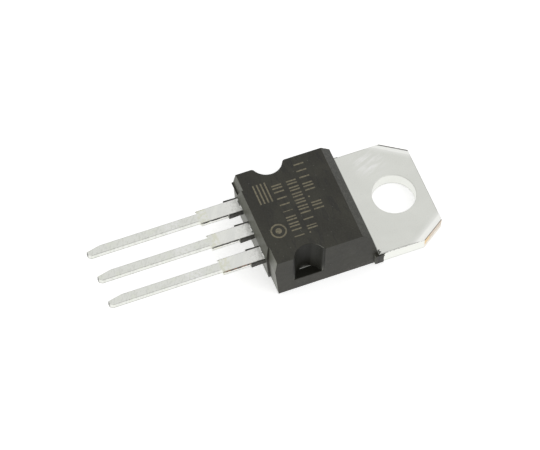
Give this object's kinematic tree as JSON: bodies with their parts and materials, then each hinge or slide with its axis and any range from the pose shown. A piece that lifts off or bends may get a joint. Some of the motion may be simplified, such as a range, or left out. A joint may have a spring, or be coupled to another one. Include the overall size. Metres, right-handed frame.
{
  "type": "mosfet transistor",
  "caption": "Power transistor with straight leads: black moulded body with side clamp notches and a plated metal heat tab with a screw hole.",
  "frame": {"origin": "centre of the mounting hole, on the flat back of the heat tab", "axes": "+Z out of the front face, along the mounting hole; +Y to the free end of the tab; leads point to -Y; gate lead on -X, source lead on +X"},
  "size_m": [0.0104, 0.0296, 0.0044],
  "materials": {
    "moulding_compound": "matt black epoxy moulding compound, finely textured",
    "tin_plated_copper": "matt tin plating, bare copper where the strip was cut",
    "silicon": "polished, hidden inside",
    "solder": "dull solder, hidden inside",
    "bond_wire": "bright drawn wire, hidden inside"
  },
  "bodies": {
    "root": {"moulded_body": "moulding_compound", "heat_tab_and_drain_lead": "tin_plated_copper", "gate_lead": "tin_plated_copper", "source_lead": "tin_plated_copper", "silicon_die": "silicon", "die_attach_solder": "solder", "gate_bond_wire": "bond_wire", "source_bond_wire": "bond_wire"}
  },
  "joints": []
}
